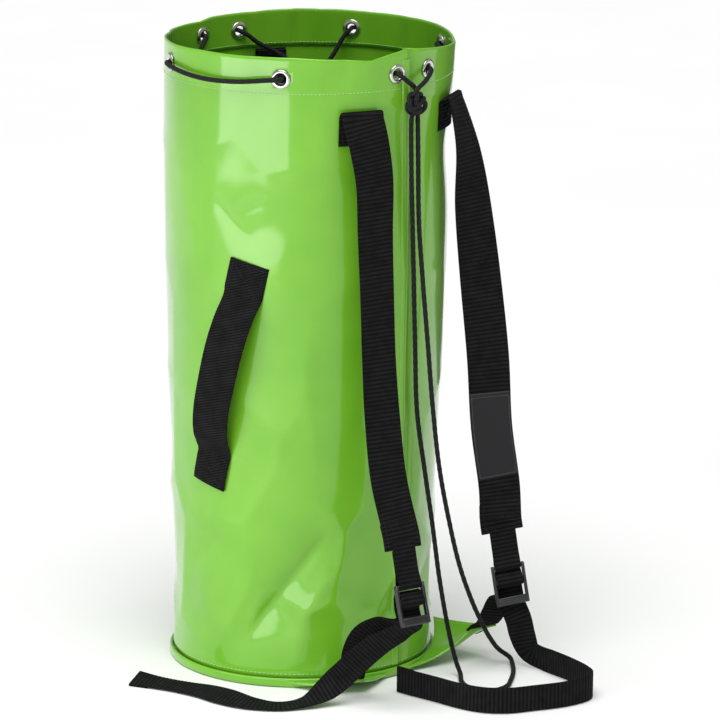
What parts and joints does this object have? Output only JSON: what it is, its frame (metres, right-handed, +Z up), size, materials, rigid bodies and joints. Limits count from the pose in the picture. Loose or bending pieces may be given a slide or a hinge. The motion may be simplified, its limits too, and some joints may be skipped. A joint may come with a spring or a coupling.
{
  "type": "rope storage bag",
  "caption": "Tall open-topped tube bag of coated fabric for climbing rope, with a drawcord through eyelets, shoulder straps, a side haul handle and a rope tie-in loop.",
  "frame": {"origin": "centre of the base's underside", "axes": "+Z up the bag towards its mouth, -Y towards the back seam and the shoulder straps, the haul handle is on the -X side"},
  "size_m": [0.3512, 0.449, 0.6],
  "materials": {
    "tarpaulin": "glossy lime green PVC-coated fabric",
    "webbing": "matt black ribbed polyester webbing",
    "cord": "black braided cord",
    "lock_plastic": "black acetal, satin gloss",
    "nickel": "nickel-plated brass, polished",
    "label_satin": "black woven label, blank"
  },
  "bodies": {
    "bag": {"body_panel": "tarpaulin", "hem_facing": "tarpaulin", "base_disc": "tarpaulin", "base_binding": "tarpaulin", "seam_strip": "tarpaulin", "eyelet_1": "nickel", "eyelet_washer_1": "nickel", "eyelet_2": "nickel", "eyelet_washer_2": "nickel", "eyelet_3": "nickel", "eyelet_washer_3": "nickel", "eyelet_4": "nickel", "eyelet_washer_4": "nickel", "eyelet_5": "nickel", "eyelet_washer_5": "nickel", "eyelet_6": "nickel", "eyelet_washer_6": "nickel", "eyelet_7": "nickel", "eyelet_washer_7": "nickel", "eyelet_8": "nickel", "eyelet_washer_8": "nickel", "drawcord_rim": "cord", "drawcord_knot": "cord", "drawcord_bight": "cord", "left_strap_sewn_end": "webbing", "left_adjuster_anchor": "webbing", "left_adjuster_tail": "webbing", "left_lower_tab": "tarpaulin", "right_strap_sewn_end": "webbing", "right_adjuster_anchor": "webbing", "right_adjuster_tail": "webbing", "right_lower_tab": "tarpaulin", "haul_handle_upper_end": "webbing", "haul_handle_lower_end": "webbing", "tie_loop_sewn_end": "webbing"},
    "left_strap": {"left_shoulder_strap": "webbing", "left_lock_loop": "webbing"},
    "left_lock": {"left_ladder_lock": "lock_plastic", "left_adjuster_wrap": "webbing"},
    "right_strap": {"right_shoulder_strap": "webbing", "right_lock_loop": "webbing", "strap_label": "label_satin"},
    "right_lock": {"right_ladder_lock": "lock_plastic", "right_adjuster_wrap": "webbing"},
    "haul_handle": {"haul_handle": "webbing"},
    "tie_loop": {"tie_loop": "webbing"}
  },
  "joints": [
    {"name": "left_strap_swing", "type": "hinge", "parent": "bag", "child": "left_strap", "pos_m": [-0.05135, -0.13319, 0.5498], "axis": [-0.9136, 0.4067, 0], "range_deg": [0, 8], "deforming": ["left_adjuster_anchor", "left_adjuster_tail"]},
    {"name": "left_lock_tilt", "type": "hinge", "parent": "left_strap", "child": "left_lock", "pos_m": [-0.06549, -0.20971, 0.1205], "axis": [-0.9847, 0.1743, 0.0023], "range_deg": [0, 40]},
    {"name": "right_strap_swing", "type": "hinge", "parent": "bag", "child": "right_strap", "pos_m": [0.06895, -0.13004, 0.5498], "axis": [-0.891, -0.454, 0], "range_deg": [0, 8], "deforming": ["right_adjuster_anchor", "right_adjuster_tail"]},
    {"name": "right_lock_tilt", "type": "hinge", "parent": "right_strap", "child": "right_lock", "pos_m": [0.08803, -0.18883, 0.1033], "axis": [-0.8261, 0.5445, -0.1452], "range_deg": [0, 40]},
    {"name": "haul_handle_swing", "type": "hinge", "parent": "bag", "child": "haul_handle", "pos_m": [-0.12637, -0.03186, 0.2995], "axis": [0.0283, -0.2275, 0.9734], "range_deg": [-14, 14]},
    {"name": "tie_loop_flop", "type": "hinge", "parent": "bag", "child": "tie_loop", "pos_m": [0.06717, 0.11067, 0.5437], "axis": [-0.8829, 0.4695, 0], "range_deg": [0, 60]}
  ]
}
